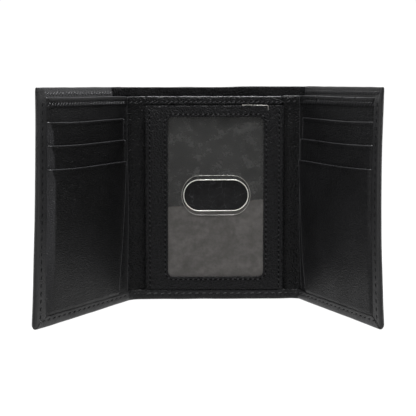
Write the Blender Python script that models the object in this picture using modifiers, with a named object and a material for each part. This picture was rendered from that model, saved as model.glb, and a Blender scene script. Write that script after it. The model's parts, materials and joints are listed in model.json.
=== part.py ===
"""Trifold leather wallet, standing open on its bottom edge with both wings folded forward.

Frame: metres, +X to the right, the inside faces -Y, +Z up. The origin is on the bottom face of the
centre section, under the front of its divider. Each section is a stack of thin sheets, and a sheet's
place in the stack is its distance in front of the divider's front face, negative towards the outside.
"""

import math

import bmesh
import bpy
from mathutils import Vector

MM = 0.001

# Whole wallet
HEIGHT = 108.0
INSIDE_TOP = 103.2
CENTRE_HALF = 35.2
HEM_SIDE = 4.0
HEM_BOTTOM = 5.2
CORNER_RADIUS = 2.5
GAP = 0.3

# Sheet thicknesses
SHELL = 0.9
LINING = 0.4
PANEL = 0.5
THREAD_RADIUS = 0.15

# Places in the stack, from the divider's front face towards the inside
SHELL_BACK = -3.1
LINING_BACK = -1.9
DIVIDER_BACK = -0.5
SLIP_BACK = 0.3
HEM_FRONT = 2.0
POCKET_STEP = PANEL + GAP
POCKET_BACKS = [1.1 + step * POCKET_STEP for step in range(3)]
POCKET_TOPS = [92.5, 82.0, 71.4]

# The bill compartment stands open behind the centre section
BULGE = 3.7
BULGE_FLAT_HALF = 22.0
BULGE_LOW = 3.0
BULGE_FULL = 16.0

# Card window of the centre section
FRAME_TOP = 98.6
WINDOW_LOW = (-23.6, 11.8)
WINDOW_HIGH = (24.8, 92.9)
WINDOW_RADIUS = 2.0
FILM_OVERLAP = 3.0
THUMB_CENTRE = (0.8, 53.3)
THUMB_LENGTH = 32.1
THUMB_WIDTH = 15.2
BACKING_BACK = 0.3
FILM_BACK = 0.9
FILM = 0.3
FRAME_BACK = 1.5
FRAME = 0.6
FRAME_CORNER = 0.6
BACKING_DROP = 0.6
FILM_CORNER = 1.0
STADIUM_SLACK = 0.01

# Folds: side, axis place, angle folded forward, and the wing's inner edge and tip from the axis
FOLDS = {
    "left": {"side": -1, "axis_x": -40.0, "axis_front": 3.1, "angle": 60.0, "start": 3.9, "tip": 74.1},
    "right": {"side": 1, "axis_x": 38.8, "axis_front": 6.45, "angle": 67.5, "start": -2.4, "tip": 67.8},
}
POCKET_START = 3.5
FOLD_STEPS = 8

# Seams
SEAM_INSET = 1.3
SEAM_END = 1.0
CENTRE_SEAM_END = 0.5
TOP_SEAM = 100.3
FRAME_SEAM_X = 32.6

# The lining ends a little under the wallet's top edge, and cutters reach a little past what they cut
LINING_TOP = HEIGHT - 1.0
CUT_PAST = 1.0
EDGE_ROUNDING = 0.3

BLACK_LEATHER = (0.014, 0.014, 0.016)
LINING_CLOTH = (0.02, 0.02, 0.022)
CLEAR_FILM = (0.16, 0.16, 0.16)
BLACK_THREAD = (0.03, 0.03, 0.032)


def clear_scene():
    for thing in list(bpy.data.objects):
        bpy.data.objects.remove(thing, do_unlink=True)


def new_collection(name):
    made = bpy.data.collections.new(name)
    bpy.context.scene.collection.children.link(made)
    return made


def new_material(name, colour, roughness):
    made = bpy.data.materials.new(name)
    made.use_nodes = True
    shader = made.node_tree.nodes["Principled BSDF"]
    shader.inputs["Base Color"].default_value = (*colour, 1.0)
    shader.inputs["Roughness"].default_value = roughness
    shader.inputs["Metallic"].default_value = 0.0
    return made


def new_object(name, mesh, parent, colour, roughness):
    """Puts a mesh in the wallet's collection under a parent, with a material of its own."""
    made = bpy.data.objects.new(name, mesh)
    wallet.objects.link(made)
    made.parent = parent
    made.data.materials.append(new_material(name, colour, roughness))
    return made


def box_mesh(name, low, high):
    """A box between two corners given in millimetres."""
    shape = bmesh.new()
    bmesh.ops.create_cube(shape, size=1.0)
    size = [(b - a) * MM for a, b in zip(low, high)]
    middle = [(a + b) / 2 * MM for a, b in zip(low, high)]
    bmesh.ops.scale(shape, vec=size, verts=shape.verts)
    bmesh.ops.translate(shape, vec=middle, verts=shape.verts)
    mesh = bpy.data.meshes.new(name)
    shape.to_mesh(mesh)
    shape.free()
    return mesh


def soften(thing, width):
    """Rounds the sharp edges of a sheet."""
    bevel = thing.modifiers.new("rounded_edges", "BEVEL")
    bevel.width = width * MM
    bevel.segments = 2
    bevel.limit_method = "ANGLE"


def cut(thing, name, mesh):
    """Takes a cutter away from an object that stands under the same parent."""
    cutter = bpy.data.objects.new(name, mesh)
    cutters.objects.link(cutter)
    cutter.parent = thing.parent
    cutter.hide_render = True
    cutter.display_type = "WIRE"
    boolean = thing.modifiers.new(name, "BOOLEAN")
    boolean.operation = "DIFFERENCE"
    boolean.object = cutter


def stack_box(section, x_from, x_to, back, front, low, high):
    """Corners of a sheet: across its section, through the stack, and up."""
    side, front_of_axis = section["side"], section["axis_front"]
    xs = sorted((side * x_from, side * x_to))
    return (xs[0], front_of_axis - front, low), (xs[1], front_of_axis - back, high)


def sheet(name, section, across, back, thickness, up, colour=BLACK_LEATHER, roughness=0.55):
    low, high = stack_box(section, *across, back, back + thickness, *up)
    made = new_object(name, box_mesh(name, low, high), section["parent"], colour, roughness)
    soften(made, thickness * EDGE_ROUNDING)
    return made


def curve_to_mesh(name, curve):
    """Turns a curve object into a welded mesh in the same place and removes the curve."""
    bpy.context.view_layer.update()
    evaluated = curve.evaluated_get(bpy.context.evaluated_depsgraph_get())
    mesh = bpy.data.meshes.new_from_object(evaluated)
    mesh.name = name
    shape = bmesh.new()
    shape.from_mesh(mesh)
    bmesh.ops.remove_doubles(shape, verts=shape.verts, dist=0.00002)
    shape.to_mesh(mesh)
    shape.free()
    mesh.materials.clear()
    bpy.data.objects.remove(curve, do_unlink=True)
    return mesh


def thread(name, section, points, height, closed=False):
    """A sewing thread along points (across, up), lying in front of the given stack height."""
    data = bpy.data.curves.new(name, "CURVE")
    data.dimensions = "3D"
    data.bevel_depth = THREAD_RADIUS * MM
    data.bevel_resolution = 1
    data.use_fill_caps = True
    spline = data.splines.new("POLY")
    spline.points.add(len(points) - 1)
    spline.use_cyclic_u = closed
    y = section["axis_front"] - height - GAP - THREAD_RADIUS
    for place, (across, up) in zip(spline.points, points):
        place.co = (section["side"] * across * MM, y * MM, up * MM, 1.0)
    mesh = curve_to_mesh(name, bpy.data.objects.new(name + "_route", data))
    new_object(name, mesh, section["parent"], BLACK_THREAD, 0.6)


def rounded_rectangle(low, high, radius, steps=4):
    """Corner points of a rectangle with quarter-circle corners, anticlockwise."""
    points = []
    corners = [(high[0], high[1], 0), (low[0], high[1], 1), (low[0], low[1], 2), (high[0], low[1], 3)]
    for x, z, quarter in corners:
        middle_x = x - math.copysign(radius, x - (low[0] + high[0]) / 2)
        middle_z = z - math.copysign(radius, z - (low[1] + high[1]) / 2)
        for step in range(steps + 1):
            turn = math.pi / 2 * (quarter + step / steps)
            points.append((middle_x + radius * math.cos(turn), middle_z + radius * math.sin(turn)))
    return points


def outline_mesh(name, outlines, back, thickness):
    """A flat plate in the centre section with holes, from closed outlines of (across, up) points."""
    data = bpy.data.curves.new(name, "CURVE")
    data.dimensions = "2D"
    data.fill_mode = "BOTH"
    data.extrude = thickness / 2 * MM
    for outline in outlines:
        spline = data.splines.new("POLY")
        spline.points.add(len(outline) - 1)
        spline.use_cyclic_u = True
        for place, (across, up) in zip(spline.points, outline):
            place.co = (across * MM, up * MM, 0.0, 1.0)
    mesh = curve_to_mesh(name, bpy.data.objects.new(name + "_outline", data))
    for vertex in mesh.vertices:
        across, up, depth = vertex.co
        vertex.co = (across, -(back + thickness / 2) * MM - depth, up)
    return mesh


def surface_object(name, rows, thickness, parent, colour, roughness, offset=1.0):
    """A sheet of even thickness over a grid of points, one list of points for each row."""
    shape = bmesh.new()
    grid = [[shape.verts.new(Vector(point) * MM) for point in row] for row in rows]
    for upper, lower in zip(grid, grid[1:]):
        for a, b, c, d in zip(upper, upper[1:], lower[1:], lower):
            shape.faces.new((a, b, c, d))
    mesh = bpy.data.meshes.new(name)
    shape.to_mesh(mesh)
    shape.free()
    made = new_object(name, mesh, parent, colour, roughness)
    solid = made.modifiers.new("thickness", "SOLIDIFY")
    solid.thickness = thickness * MM
    solid.offset = offset
    solid.use_even_offset = True
    return made


def ramp(value, start, end):
    return min(max((value - start) / (end - start), 0.0), 1.0)


def bulge(x, z):
    """How far the shell stands back behind the bill compartment."""
    across = ramp(CENTRE_HALF - abs(x), 0.0, CENTRE_HALF - BULGE_FLAT_HALF)
    return BULGE * across * ramp(z, BULGE_LOW, BULGE_FULL)


def make_centre_shell():
    """Outer leather of the centre section, turned up over the front as the bottom hem."""
    columns = [-CENTRE_HALF, -BULGE_FLAT_HALF, BULGE_FLAT_HALF, CENTRE_HALF]
    rows = [[(x, -HEM_FRONT, HEM_BOTTOM) for x in columns]]
    rows.append([(x, -HEM_FRONT, 0.0) for x in columns])
    rows.append([(x, -SHELL_BACK, 0.0) for x in columns])
    for z in (BULGE_LOW, BULGE_FULL, HEIGHT):
        rows.append([(x, -SHELL_BACK + bulge(x, z), z) for x in columns])
    surface_object("shell_centre", rows, SHELL, None, BLACK_LEATHER, 0.5)


def make_centre_lining():
    """Cloth lining that follows the inside of the centre shell."""
    columns = [-CENTRE_HALF, -BULGE_FLAT_HALF, BULGE_FLAT_HALF, CENTRE_HALF]
    rows = []
    for z in (SHELL + 2 * GAP, BULGE_LOW, BULGE_FULL, LINING_TOP):
        rows.append([(x, -LINING_BACK + bulge(x, z), z) for x in columns])
    surface_object("shell_lining_centre", rows, LINING, None, LINING_CLOTH, 0.85)


def make_card_window():
    """Leather frame, clear film with its thumb slot, and the backing behind them."""
    low, high = WINDOW_LOW, WINDOW_HIGH
    edge = CENTRE_HALF - GAP
    foot = HEM_BOTTOM + GAP
    border = rounded_rectangle((-edge, foot), (edge, FRAME_TOP), FRAME_CORNER, 2)
    hole = rounded_rectangle(low, high, WINDOW_RADIUS)
    frame = outline_mesh("id_frame", [border, hole], FRAME_BACK, FRAME)
    new_object("id_frame", frame, None, BLACK_LEATHER, 0.5)

    film_low = [value - FILM_OVERLAP for value in low]
    film_high = [value + FILM_OVERLAP for value in high]
    thumb_low = (THUMB_CENTRE[0] - THUMB_LENGTH / 2, THUMB_CENTRE[1] - THUMB_WIDTH / 2)
    thumb_high = (THUMB_CENTRE[0] + THUMB_LENGTH / 2, THUMB_CENTRE[1] + THUMB_WIDTH / 2)
    film_edge = rounded_rectangle(film_low, film_high, FILM_CORNER, 2)
    thumb = rounded_rectangle(thumb_low, thumb_high, THUMB_WIDTH / 2 - STADIUM_SLACK, 6)
    film = outline_mesh("window_film", [film_edge, thumb], FILM_BACK, FILM)
    new_object("window_film", film, None, CLEAR_FILM, 0.2)

    centre = {"side": 1, "axis_front": 0.0, "parent": None}
    up = (foot, FRAME_TOP - BACKING_DROP)
    sheet("id_backing", centre, (-edge, edge), BACKING_BACK, FILM, up, roughness=0.7)

    seam_low = [value - SEAM_INSET for value in low]
    seam_high = [value + SEAM_INSET for value in high]
    ring = rounded_rectangle(seam_low, seam_high, WINDOW_RADIUS + SEAM_INSET)
    front = FRAME_BACK + FRAME
    thread("window_seam", centre, ring, front, closed=True)
    for name, x in (("id_seam_left", -FRAME_SEAM_X), ("id_seam_right", FRAME_SEAM_X)):
        thread(name, centre, [(x, foot + SEAM_END), (x, FRAME_TOP - SEAM_END)], front)


def make_centre():
    centre = {"side": 1, "axis_front": 0.0, "parent": None}
    across = (-CENTRE_HALF, CENTRE_HALF)
    make_centre_shell()
    make_centre_lining()
    sheet("divider_centre", centre, across, DIVIDER_BACK, PANEL, (SHELL + GAP, INSIDE_TOP))
    make_card_window()
    ends = CENTRE_HALF - CENTRE_SEAM_END
    low_seam = HEM_BOTTOM - SEAM_INSET
    thread("bottom_seam_centre", centre, [(-ends, low_seam), (ends, low_seam)], HEM_FRONT)
    thread("top_seam_centre", centre, [(-ends, TOP_SEAM), (ends, TOP_SEAM)], 0.0)


def make_fold_axis(name, fold):
    """An empty on the fold's axis, turned so that its wing stands folded forward."""
    axis = bpy.data.objects.new(name + "_fold_axis", None)
    wallet.objects.link(axis)
    axis.location = (fold["axis_x"] * MM, -fold["axis_front"] * MM, 0.0)
    axis.rotation_euler = (0.0, 0.0, -fold["side"] * math.radians(fold["angle"]))
    return axis


def make_wing_shell(name, section, start, tip):
    """Outer leather of a wing: back, bottom and side edges, and the hems turned over the front."""
    low, high = stack_box(section, start, tip, SHELL_BACK, HEM_FRONT, 0.0, HEIGHT)
    mesh = box_mesh(name, low, high)
    shape = bmesh.new()
    shape.from_mesh(mesh)
    tip_x = section["side"] * tip * MM
    corner = [
        edge for edge in shape.edges
        if all(abs(v.co.x - tip_x) < 1e-6 and abs(v.co.z) < 1e-6 for v in edge.verts)
    ]
    bmesh.ops.bevel(shape, geom=corner, offset=CORNER_RADIUS * MM, segments=4, profile=0.5, affect="EDGES")
    shape.to_mesh(mesh)
    shape.free()
    made = new_object(name, mesh, section["parent"], BLACK_LEATHER, 0.5)
    first, top = start - CUT_PAST, HEIGHT + CUT_PAST
    inside = (first, tip - SHELL, SHELL_BACK + SHELL, HEM_FRONT - SHELL, SHELL, top)
    cut(made, name + "_inside", box_mesh(name + "_inside", *stack_box(section, *inside)))
    front = (first, tip - HEM_SIDE, HEM_FRONT - SHELL - GAP, HEM_FRONT + CUT_PAST, HEM_BOTTOM, top)
    cut(made, name + "_front", box_mesh(name + "_front", *stack_box(section, *front)))
    return made


def make_wing(name, fold):
    section = dict(fold, parent=make_fold_axis(name, fold))
    start, tip = fold["start"] + GAP, fold["tip"]
    inner_tip = tip - SHELL - GAP
    floor = SHELL + GAP
    make_wing_shell("shell_" + name, section, start, tip)
    across = (start, inner_tip)
    up = (floor, LINING_TOP)
    sheet("shell_lining_" + name, section, across, LINING_BACK, LINING, up, LINING_CLOTH, 0.85)
    sheet("divider_" + name, section, across, DIVIDER_BACK, PANEL, (floor, INSIDE_TOP))

    pocket_start = fold["start"] + POCKET_START
    pocket_end = tip - HEM_SIDE - GAP
    sheet("slip_panel_" + name, section, (pocket_start, inner_tip), SLIP_BACK, PANEL, (floor, INSIDE_TOP))
    pocket_names = ("card_pocket_upper_", "card_pocket_middle_", "card_pocket_front_")
    foot = HEM_BOTTOM + GAP
    for pocket, back, top in zip(pocket_names, POCKET_BACKS, POCKET_TOPS):
        sheet(pocket + name, section, (pocket_start, pocket_end), back, PANEL, (foot, top), roughness=0.45)

    seam_up = HEM_BOTTOM - SEAM_INSET
    seam_across = tip - HEM_SIDE + SEAM_INSET
    bottom = [(start + SEAM_END, seam_up), (seam_across - SEAM_END, seam_up)]
    thread("bottom_seam_" + name, section, bottom, HEM_FRONT)
    upright = [(seam_across, seam_up), (seam_across, HEIGHT - SEAM_END)]
    thread("side_seam_" + name, section, upright, HEM_FRONT)
    across_top = [(pocket_start + SEAM_END, TOP_SEAM), (pocket_end - SEAM_END, TOP_SEAM)]
    thread("top_seam_" + name, section, across_top, SLIP_BACK + PANEL)


def fold_route(fold, height):
    """Plan route of a fold's sheet at a stack height, from the centre section's edge to the wing."""
    side, angle = fold["side"], math.radians(fold["angle"])
    along = Vector((side * math.cos(angle), -math.sin(angle)))
    inward = Vector((-side * math.sin(angle), -math.cos(angle)))
    axis = Vector((fold["axis_x"], -fold["axis_front"]))
    first = Vector((side * (CENTRE_HALF + GAP), 0.0))
    last = axis - fold["axis_front"] * inward + fold["start"] * along
    bend = last + along * (last.y / math.sin(angle))
    route = []
    for step in range(FOLD_STEPS + 1):
        t = step / FOLD_STEPS
        place = first * (1 - t) ** 2 + bend * 2 * t * (1 - t) + last * t ** 2
        heading = ((bend - first) * (1 - t) + (last - bend) * t).normalized()
        normal = Vector((heading.y, -heading.x)) * side
        route.append(place + normal * height)
    return route


def make_fold(name, fold):
    """The leather and lining that bend between the centre section and a wing."""
    sheets = {
        "shell_fold_": (SHELL_BACK, SHELL, HEIGHT, BLACK_LEATHER),
        "lining_fold_": (LINING_BACK, LINING, LINING_TOP, LINING_CLOTH),
        "inner_fold_": (DIVIDER_BACK, PANEL, INSIDE_TOP, BLACK_LEATHER),
    }
    for kind, (back, thickness, top, colour) in sheets.items():
        route = fold_route(fold, back + thickness / 2)
        rows = [[(place.x, place.y, z) for place in route] for z in (GAP, top)]
        surface_object(kind + name, rows, thickness, None, colour, 0.6, offset=0.0)


clear_scene()
wallet = new_collection("trifold_wallet")
cutters = new_collection("cutters")
make_centre()
for fold_name, fold_values in FOLDS.items():
    make_wing(fold_name, fold_values)
    make_fold(fold_name, fold_values)
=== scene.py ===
"""Looks of the trifold wallet: leather, stitches, film and studio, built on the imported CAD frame.

Lengths are millimetres until a mesh is made. A place on the wallet is (s, n, z): s runs along the
sheets from the middle of the centre section, through a fold, to a wing's tip; n is the distance in
front of the divider's front face, negative towards the outside; z is up.
"""

import json
import math

import bmesh
import bpy
import numpy as np
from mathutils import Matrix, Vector, noise


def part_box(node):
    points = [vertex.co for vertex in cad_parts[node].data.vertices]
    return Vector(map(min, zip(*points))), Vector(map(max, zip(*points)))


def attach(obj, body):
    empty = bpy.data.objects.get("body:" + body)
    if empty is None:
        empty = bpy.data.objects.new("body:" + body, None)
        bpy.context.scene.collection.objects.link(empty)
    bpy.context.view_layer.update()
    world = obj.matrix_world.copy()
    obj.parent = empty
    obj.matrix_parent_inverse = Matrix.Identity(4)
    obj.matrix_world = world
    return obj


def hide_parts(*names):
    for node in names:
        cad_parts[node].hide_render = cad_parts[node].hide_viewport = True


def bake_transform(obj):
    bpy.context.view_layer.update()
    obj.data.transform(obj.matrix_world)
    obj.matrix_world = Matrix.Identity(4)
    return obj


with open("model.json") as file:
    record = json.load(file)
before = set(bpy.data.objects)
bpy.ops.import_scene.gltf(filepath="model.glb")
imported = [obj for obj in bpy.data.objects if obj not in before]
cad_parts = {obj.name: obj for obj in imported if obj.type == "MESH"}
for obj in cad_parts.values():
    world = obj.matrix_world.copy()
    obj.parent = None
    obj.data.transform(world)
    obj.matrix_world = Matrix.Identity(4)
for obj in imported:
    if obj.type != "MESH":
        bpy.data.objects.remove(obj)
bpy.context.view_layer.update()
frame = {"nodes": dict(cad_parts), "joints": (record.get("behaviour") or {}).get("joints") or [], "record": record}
MM = 0.001

# Height of the wallet, and a point in front of its middle, in metres, that sheets face
HEIGHT = 108.0
IN_FRONT = (0.0, -0.5, 0.05)

# Camera of the reference view
CAMERA_PLACE = (-16.5, -519.0, 112.3)
CAMERA_YAW = 1.467
CAMERA_PITCH = 4.0
CAMERA_LENS = 89.17
CAMERA_SHIFT = -0.1385

# Leather sheets
SHELL = 0.9
PANEL = 0.5
HEM_FRONT = 2.0
SHELL_BACK = -3.1
HEM_BOTTOM = 5.2
HEM_SIDE = 4.0
CORNER_RADIUS = 2.5
BULGE = 3.5
BULGE_EDGE = 35.2

# Shape of the soft wings at their tips: twist inwards and how far the tip is drawn in, at the bottom,
# middle and top; lift; and the side hem's width at the bottom and top
WING_TWIST = {"left": (-0.8, 0.1, 1.0), "right": (0.0, 0.8, 0.5)}
WING_DRAW = {"left": (-2.7, -0.4, -0.3), "right": (-3.2, -0.8, -1.7)}
WING_LIFT = {"left": 0.45, "right": 0.2}
TOP_STRETCH = {"left": 0.0, "right": 0.0035}
HEM_WIDTH = {"left": (7.5, 6.0), "right": (6.0, 5.0)}
FOLD_LEVEL = 1.5
FOLD_DIP = 0.8
TIP_LEVEL = -0.2
TIP_BACK = -2.9

# Height and slope of the line across the film below which it clings to the sheet behind it
FILM_LINE = 49.2
FILM_SLOPE = 0.081

# Stitches
PITCH = 3.4
STITCH_LENGTH = 2.3
STITCH_RADIUS = 0.3
SEAM_UP = 3.4
SEAM_IN = 2.05


def clamp(value):
    return min(max(value, 0.0), 1.0)


def smooth(value, start=0.0, end=1.0):
    t = clamp((value - start) / (end - start))
    return t * t * (3 - 2 * t)


def between(a, b, share):
    """The point of the plane at a share of the way from a to b."""
    return a[0] + (b[0] - a[0]) * share, a[1] + (b[1] - a[1]) * share


def full_turn(count):
    return [2 * math.pi * k / count for k in range(count)]


def ripple(point, size, amount, seed=0.0):
    """Gentle unevenness of leather: noise in space with a feature size, in millimetres."""
    return amount * noise.noise(Vector(point) / size + Vector((seed, seed * 0.7, -seed)))


def uneven(point, *waves):
    """Sum of ripples at a point, each given as (size, amount) or (size, amount, seed)."""
    return sum(ripple(point, *wave) for wave in waves)


def three_way(values, share):
    """A value along a curve through a low, a middle and a high value."""
    low, middle, high = values
    return low * (1 - share) + high * share + (middle - (low + high) / 2) * 4 * share * (1 - share)


def path_lengths(points):
    """Distance of each point along a path from its first one."""
    lengths = [0.0]
    for a, b in zip(points, points[1:]):
        lengths.append(lengths[-1] + (b - a).length)
    return lengths


# ---- places on the wallet


class Side:
    """One half of the wallet: half of the centre section, a fold and a wing."""

    def __init__(self, name, side):
        self.name = name
        self.side = side
        self.body = name + "_wing"
        joint = next(j for j in frame["joints"] if j["name"] == name + "_fold")
        axis_x, axis_y = joint["pos_m"][0] / MM, joint["pos_m"][1] / MM
        angle = math.radians(-joint["range_deg"][0])
        self.along = Vector((side * math.cos(angle), -math.sin(angle)))
        self.inward = Vector((-side * math.sin(angle), -math.cos(angle)))
        self.foot = Vector((axis_x, axis_y)) + self.inward * axis_y
        shell = self.span("shell_" + name)
        self.start, self.tip = shell[0][0] - 0.3, shell[1][0]
        self.edge = abs(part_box("divider_centre")[side > 0].x) / MM + 0.3
        self.bend_in = Vector((side * self.edge, 0.0))
        self.bend_out = self.foot + self.along * self.start
        corner = self.bend_out + self.along * (self.bend_out.y / math.sin(angle))
        self.samples = []
        for step in range(81):
            t = step / 80
            place = self.bend_in * (1 - t) ** 2 + corner * 2 * t * (1 - t) + self.bend_out * t ** 2
            heading = ((corner - self.bend_in) * (1 - t) + (self.bend_out - corner) * t).normalized()
            self.samples.append((place, heading))
        self.lengths = path_lengths([place for place, _ in self.samples])
        self.fold = self.lengths[-1]
        self.wing = self.edge + self.fold
        self.end = self.wing + self.tip - self.start
        self.twist, self.draw, self.lift = WING_TWIST[name], WING_DRAW[name], WING_LIFT[name]
        self.hem_low, self.hem_high = HEM_WIDTH[name]

    def wing_share(self, s):
        """How far out a place is on the wing: 0 up to the fold, 1 at the tip."""
        return clamp((s - self.wing) / (self.end - self.wing))

    def hem(self, z):
        """Width of the side hem at a height."""
        return self.hem_low + (self.hem_high - self.hem_low) * z / HEIGHT

    def relaxed(self, s, n, z):
        """The soft wing is a little twisted, drawn in and lifted towards its tip."""
        z *= 1.0 + TOP_STRETCH[self.name] * smooth(s, 0.0, 20.0)
        share = max((s - self.wing) / (self.end - self.wing), 0.0)
        if share == 0.0:
            return s, n, z
        twist, draw = three_way(self.twist, z / HEIGHT), three_way(self.draw, z / HEIGHT)
        return s - draw * share, n + twist * share ** 1.5, z + self.lift * share

    def span(self, node):
        """Lowest and highest (along, n, z) of a CAD node in this wing's own directions."""
        co = np.array([v.co for v in frame["nodes"][node].data.vertices]) / MM
        plan = co[:, :2] - np.array(self.foot)
        local = np.stack([plan @ np.array(self.along), plan @ np.array(self.inward), co[:, 2]], 1)
        return local.min(0), local.max(0)

    def section_of(self, point):
        """Place along the wallet and distance in front of the divider of a point in millimetres."""
        plan = point.xy
        if abs(plan.x) <= self.edge:
            return abs(plan.x), -plan.y
        reach = (plan - self.bend_out).dot(self.along)
        if reach > 0.0:
            share = reach / (self.end - self.wing)
            twist = three_way(self.twist, point.z / HEIGHT) * share ** 1.5
            return self.wing + reach, (plan - self.bend_out).dot(self.inward) - twist
        step = min(range(len(self.samples)), key=lambda k: (self.samples[k][0] - plan).length)
        place, heading = self.samples[step]
        across = Vector((heading.y, -heading.x))
        return self.edge + self.lengths[step], (plan - place).dot(across) * self.side

    def at(self, s, n, z):
        """The point at a place (s, n, z), in metres."""
        s, n, z = self.relaxed(s, n, z)
        if s <= self.edge:
            place, normal = Vector((self.side * s, 0.0)), Vector((0.0, -1.0))
        elif s >= self.wing:
            place, normal = self.bend_out + self.along * (s - self.wing), self.inward
        else:
            reach = s - self.edge
            step = min(int(np.searchsorted(self.lengths, reach)) - 1, 79)
            step = max(step, 0)
            share = (reach - self.lengths[step]) / (self.lengths[step + 1] - self.lengths[step])
            place = self.samples[step][0].lerp(self.samples[step + 1][0], share)
            heading = self.samples[step][1].lerp(self.samples[step + 1][1], share).normalized()
            normal = Vector((heading.y, -heading.x)) * self.side
        plan = place + normal * n
        return Vector((plan.x, plan.y, z)) * MM


LEFT, RIGHT = Side("left", -1), Side("right", 1)
SIDES = (LEFT, RIGHT)


def centre_at(x, n, z):
    """A point on the centre section: across, in front of the divider, up."""
    return Vector((x, -n, z)) * MM


# ---- mesh tools


def add_object(name, data):
    made = bpy.data.objects.new(name, data)
    bpy.context.scene.collection.objects.link(made)
    return made


def new_piece(name, shape):
    mesh = bpy.data.meshes.new(name)
    bmesh.ops.remove_doubles(shape, verts=shape.verts, dist=1e-6)
    bmesh.ops.recalc_face_normals(shape, faces=shape.faces)
    shape.to_mesh(mesh)
    shape.free()
    mesh.shade_smooth()
    return add_object(name, mesh)


def apply_modifiers(piece):
    bpy.context.view_layer.update()
    evaluated = piece.evaluated_get(bpy.context.evaluated_depsgraph_get())
    mesh = bpy.data.meshes.new_from_object(evaluated)
    piece.modifiers.clear()
    piece.data = mesh
    mesh.shade_smooth()


def add_loft(shape, loops, around=False, caps=False):
    """Faces between neighbouring loops of points; around closes each loop, caps closes the ends."""
    rings = [[shape.verts.new(point) for point in loop] for loop in loops]
    count = len(rings[0])
    for upper, lower in zip(rings, rings[1:]):
        for k in range(count if around else count - 1):
            nxt = (k + 1) % count
            shape.faces.new((upper[k], upper[nxt], lower[nxt], lower[k]))
    if caps:
        shape.faces.new(rings[0])
        shape.faces.new(reversed(rings[-1]))


def loft(name, loops, around=False, caps=False):
    shape = bmesh.new()
    add_loft(shape, loops, around, caps)
    return new_piece(name, shape)


def thicken(piece, thickness, away_from, levels=1, flat_middle=False):
    """Gives an open sheet its thickness on the side away from a point, and rounds its edges."""
    mesh = piece.data
    total = sum((Vector(away_from) - p.center).dot(p.normal) * p.area for p in mesh.polygons)
    solid = piece.modifiers.new("thickness", "SOLIDIFY")
    solid.thickness = thickness * MM
    solid.offset = -1.0 if total > 0 else 1.0
    solid.use_even_offset = False
    apply_modifiers(piece)
    if flat_middle:
        crease = piece.data.attributes.new("crease_edge", "FLOAT", "EDGE")
        middle = {v.index for v in piece.data.vertices if abs(v.co.x) < 0.2 * MM}
        for index in middle:
            piece.data.vertices[index].co.x = 0.0
        for edge in piece.data.edges:
            if middle.issuperset(edge.vertices):
                crease.data[edge.index].value = 1.0
    smooth_edges = piece.modifiers.new("rounding", "SUBSURF")
    smooth_edges.levels = smooth_edges.render_levels = levels
    apply_modifiers(piece)
    if flat_middle:
        piece.data.set_sharp_from_angle(angle=math.radians(60.0))


def spaced(start, end, step):
    """Evenly spaced values from start to end, about a step apart."""
    count = max(int(round(abs(end - start) / step)), 1)
    return [start + (end - start) * k / count for k in range(count + 1)]


# ---- materials


class Nodes:
    """Small helper that adds and links shader nodes."""

    def __init__(self, name):
        self.material = bpy.data.materials.new(name)
        self.material.use_nodes = True
        self.tree = self.material.node_tree
        self.shader = self.tree.nodes["Principled BSDF"]
        coordinates = self.tree.nodes.new("ShaderNodeTexCoord")
        self.place = coordinates.outputs["Object"]

    def add(self, kind, inputs=None, **settings):
        node = self.tree.nodes.new(kind)
        for key, value in settings.items():
            setattr(node, key, value)
        for key, value in (inputs or {}).items():
            if isinstance(value, bpy.types.NodeSocket):
                self.tree.links.new(value, node.inputs[key])
            else:
                node.inputs[key].default_value = value
        return node

    def link(self, output, socket):
        self.tree.links.new(output, self.shader.inputs[socket])

    def fix(self, **values):
        """Sets the shader's own sockets; an underscore in a name stands for a space."""
        for socket, value in values.items():
            self.shader.inputs[socket.replace("_", " ")].default_value = value

    def texture(self, scale, detail, roughness=0.5, place=None, **inputs):
        """Value of a noise texture over the object's own coordinates."""
        node = self.add("ShaderNodeTexNoise", {
            "Vector": place or self.place, "Scale": scale, "Detail": detail, "Roughness": roughness, **inputs,
        })
        return node.outputs["Fac"]

    def bump(self, height, strength, distance):
        """Bump of the shader's normal; the distance is in millimetres."""
        node = self.add("ShaderNodeBump", {"Strength": strength, "Distance": distance * MM, "Height": height})
        self.link(node.outputs["Normal"], "Normal")

    def moved(self, scale, rotation=(0, 0, 0)):
        mapping = self.add("ShaderNodeMapping", {"Vector": self.place, "Scale": scale, "Rotation": rotation})
        return mapping.outputs["Vector"]

    def ramp(self, value, stops):
        ramp = self.add("ShaderNodeValToRGB", {"Fac": value})
        elements = ramp.color_ramp.elements
        while len(elements) < len(stops):
            elements.new(0.5)
        for element, (position, colour) in zip(elements, stops):
            element.position = position
            element.color = (*colour, 1.0)
        return ramp.outputs["Color"]

    def spread(self, value, low, high, source_low=0.3, source_high=0.7):
        """Maps a texture's value onto a range."""
        node = self.add("ShaderNodeMapRange", {
            "Value": value, "From Min": source_low, "From Max": source_high,
            "To Min": low, "To Max": high,
        })
        return node.outputs["Result"]

    def mix(self, kind, a, b):
        return self.add("ShaderNodeMath", {0: a, 1: b}, operation=kind).outputs[0]

    def blend(self, share, a, b):
        """Colour a turning into colour b."""
        return self.add("ShaderNodeMix", {0: share, 6: a, 7: b}, data_type="RGBA").outputs[2]


def grey(value, blue=1.08):
    return (value, value, value * blue)


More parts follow.
